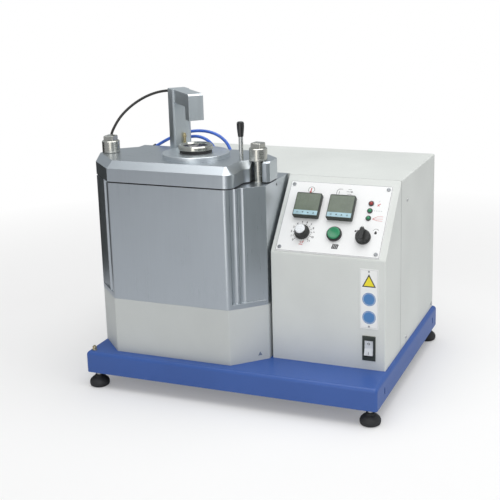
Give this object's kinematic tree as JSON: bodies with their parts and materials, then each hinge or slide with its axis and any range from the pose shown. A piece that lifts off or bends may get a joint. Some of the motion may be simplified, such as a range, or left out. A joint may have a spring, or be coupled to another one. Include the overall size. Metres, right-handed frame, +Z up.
{
  "type": "vacuum pressure casting unit",
  "caption": "Bench-top vacuum and pressure casting unit: clamped swing lid with sight glass and sensor arm over a melting chamber, beside a sloping control console on a footed tray.",
  "frame": {"origin": "on the floor, under the centre of the base tray", "axes": "+X to the right as the operator faces the control panel, +Y to the back, +Z up"},
  "size_m": [0.5744, 0.4614, 0.5515],
  "materials": {
    "blue_paint": "semi-gloss powder coat",
    "grey_paint": "fine textured paint",
    "panel_paint": "satin light grey",
    "machined_aluminium": "brushed, fine machining marks",
    "nickel_steel": "turned, nickel plated",
    "bright_steel": "bright zinc plated",
    "chrome_ring": "polished",
    "black_rubber": "matt",
    "black_plastic": "satin",
    "black_gloss": "gloss",
    "sight_glass": "tinted heat-resisting glass",
    "display_window": "clear over a blue-green display",
    "keypad_foil": "satin membrane",
    "green_plastic": "gloss, translucent",
    "red_plastic": "gloss, translucent",
    "silver_plastic": "silvered",
    "blue_hose": "satin polyurethane",
    "brass": "plain",
    "refractory": "ceramic fibre",
    "graphite": "matt graphite",
    "cast_iron": "painted casting"
  },
  "bodies": {
    "machine": {"base_tray": "blue_paint", "foot_pad_front_left": "black_rubber", "foot_pad_front_right": "black_rubber", "foot_pad_rear_left": "black_rubber", "foot_pad_rear_right": "black_rubber", "foot_studs": "bright_steel", "earth_bolt": "brass", "pedestal_skirt": "grey_paint", "chamber_body": "machined_aluminium", "lid_gasket": "black_rubber", "clamp_studs": "nickel_steel", "furnace_muffle": "refractory", "crucible": "graphite", "console_shell": "grey_paint", "control_plate": "panel_paint", "plate_screws": "bright_steel", "controller_left_housing": "black_plastic", "controller_left_window": "display_window", "controller_left_keypad": "keypad_foil", "controller_right_housing": "black_plastic", "controller_right_window": "display_window", "controller_right_keypad": "keypad_foil", "potentiometer": "black_plastic", "start_button_bezel": "black_plastic", "selector_bezel": "black_plastic", "led_bezels": "black_plastic", "led_red": "red_plastic", "led_green_upper": "green_plastic", "led_green_lower": "green_plastic", "label_plate": "panel_paint", "label_rivets": "bright_steel", "rocker_bezel": "black_plastic", "rear_cover": "grey_paint", "cover_screws": "bright_steel", "mains_inlet": "black_plastic", "vacuum_pump": "cast_iron"},
    "lid": {"lid": "machined_aluminium", "flange_disc": "machined_aluminium", "window_gasket": "black_rubber", "window_ring": "chrome_ring", "window_glass": "sight_glass", "bleed_nipple": "brass", "sensor_arm": "machined_aluminium", "temperature_sensor": "nickel_steel", "sensor_cable": "black_rubber", "cable_glands": "black_plastic", "air_hose_outer": "blue_hose", "air_hose_inner": "blue_hose", "hose_fittings": "black_plastic", "handle_rod": "bright_steel", "handle_grip": "black_gloss"},
    "left_clamp_washer": {"clamp_washer_left": "nickel_steel"},
    "right_clamp_washer": {"clamp_washer_right": "nickel_steel"},
    "left_clamp_nut": {"clamp_nut_left": "nickel_steel"},
    "right_clamp_nut": {"clamp_nut_right": "nickel_steel"},
    "start_button": {"start_button": "green_plastic"},
    "selector_knob": {"selector_knob": "black_plastic"},
    "power_knob": {"power_knob": "black_plastic", "power_knob_cap": "silver_plastic"},
    "rocker": {"rocker_paddle": "silver_plastic"}
  },
  "joints": [
    {"name": "lid_swing", "type": "hinge", "parent": "machine", "child": "lid", "pos_m": [-0.266, -0.1225, 0.417], "axis": [0, 0, 1], "range_deg": [0, 95]},
    {"name": "left_nut_lift", "type": "slide", "parent": "machine", "child": "left_clamp_washer", "axis": [0, 0, 1], "range_m": [0, 0.006]},
    {"name": "left_nut_turn", "type": "hinge", "parent": "left_clamp_washer", "child": "left_clamp_nut", "pos_m": [-0.266, -0.1225, 0.45], "axis": [0, 0, 1], "range_deg": [0, 1080]},
    {"name": "right_nut_lift", "type": "slide", "parent": "machine", "child": "right_clamp_washer", "axis": [0, 0, 1], "range_m": [0, 0.006]},
    {"name": "right_nut_turn", "type": "hinge", "parent": "right_clamp_washer", "child": "right_clamp_nut", "pos_m": [0.034, -0.1225, 0.45], "axis": [0, 0, 1], "range_deg": [0, 1080]},
    {"name": "start_button_press", "type": "slide", "parent": "machine", "child": "start_button", "axis": [0, 0.7552, -0.6555], "range_m": [0, 0.0025], "stiffness_N_per_m": 300, "springref_m": -0.004},
    {"name": "selector_turn", "type": "hinge", "parent": "machine", "child": "selector_knob", "pos_m": [0.229, -0.12597, 0.31141], "axis": [0, -0.7552, 0.6555], "range_deg": [-60, 60]},
    {"name": "power_knob_turn", "type": "hinge", "parent": "machine", "child": "power_knob", "pos_m": [0.1155, -0.12597, 0.31141], "axis": [0, -0.7552, 0.6555], "range_deg": [-135, 135]},
    {"name": "mains_rocker_tilt", "type": "hinge", "parent": "machine", "child": "rocker", "pos_m": [0.247, -0.1418, 0.112], "axis": [1, 0, 0], "range_deg": [0, 16]}
  ],
  "couplings": [
    {"joint": "left_nut_turn", "follows": "left_nut_lift", "rad_per_m": 3141.6},
    {"joint": "right_nut_turn", "follows": "right_nut_lift", "rad_per_m": 3141.6}
  ]
}
